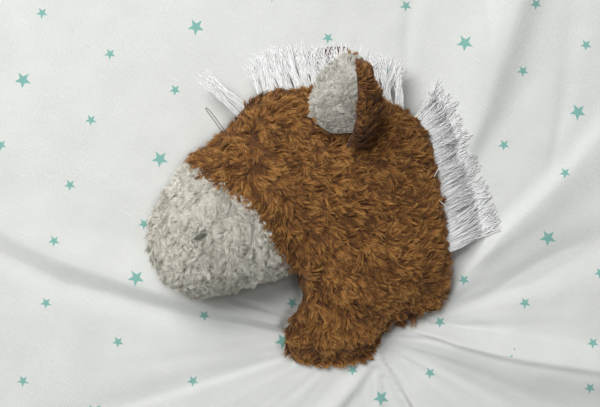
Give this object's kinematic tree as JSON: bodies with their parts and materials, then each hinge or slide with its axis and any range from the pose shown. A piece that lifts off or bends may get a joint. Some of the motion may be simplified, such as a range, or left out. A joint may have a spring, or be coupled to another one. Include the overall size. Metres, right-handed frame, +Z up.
{
  "type": "comfort blanket lovey",
  "caption": "Square two-layer comfort blanket with a stuffed horse head sewn on at its middle, with yarn mane and soft ears.",
  "frame": {"origin": "on the floor at the middle of the blanket, under the middle of the neck seam", "axes": "+Z up out of the blanket as it lies flat, +Y towards the horse's crest, and the horse looks towards -X"},
  "size_m": [0.45, 0.45, 0.0652],
  "materials": {
    "brown_plush": "tufted long pile plush, matte, with lighter tips",
    "pale_plush": "short curly off-white plush, matte",
    "ear_lining": "short greyish white plush, matte",
    "star_cloth": "off-white knitted cotton with a sparse print of small teal stars",
    "backing_cloth": "plain off-white knitted cotton",
    "white_yarn": "loose twisted yarn with a slight sheen",
    "mane_tape": "plain woven tape",
    "filling": "loose polyester filling",
    "dark_thread": "dark olive grey embroidery thread",
    "white_thread": "white sewing thread"
  },
  "bodies": {
    "blanket": {"blanket_front": "star_cloth", "blanket_back": "backing_cloth", "neck_seam": "white_thread"},
    "head": {"face_panel_left": "brown_plush", "face_panel_right": "brown_plush", "muzzle_panel_left": "pale_plush", "muzzle_panel_right": "pale_plush", "head_stuffing": "filling", "nostril_left": "dark_thread", "nostril_right": "dark_thread", "mane_tape": "mane_tape", "crown_fringe": "white_yarn"},
    "ear_left": {"ear_left_back": "brown_plush", "ear_left_lining": "ear_lining"},
    "ear_right": {"ear_right_back": "brown_plush", "ear_right_lining": "ear_lining"},
    "forelock": {"forelock": "white_yarn"},
    "neck_mane": {"neck_mane": "white_yarn"}
  },
  "joints": [
    {"name": "head_lift", "type": "hinge", "parent": "blanket", "child": "head", "pos_m": [0, 0, 0.0035], "axis": [0.9523, 0.3052, 0], "range_deg": [0, 85]},
    {"name": "ear_left_fold", "type": "hinge", "parent": "head", "child": "ear_left", "pos_m": [-0.01608, 0.09837, 0.04044], "axis": [0.9824, -0.1732, -0.0706], "range_deg": [-20, 45], "stiffness_Nm_per_rad": 0.004},
    {"name": "ear_right_fold", "type": "hinge", "parent": "head", "child": "ear_right", "pos_m": [-0.01369, 0.10481, 0.0059], "axis": [1, 0, 0], "range_deg": [0, 12]},
    {"name": "forelock_lift", "type": "hinge", "parent": "head", "child": "forelock", "pos_m": [-0.06056, 0.11153, 0.02467], "axis": [0.6081, 0.7918, -0.0573], "range_deg": [-15, 75], "stiffness_Nm_per_rad": 0.0003},
    {"name": "neck_mane_lift", "type": "hinge", "parent": "head", "child": "neck_mane", "pos_m": [0.0367, 0.07562, 0.01976], "axis": [0.2566, -0.9647, -0.0591], "range_deg": [0, 70]}
  ]
}
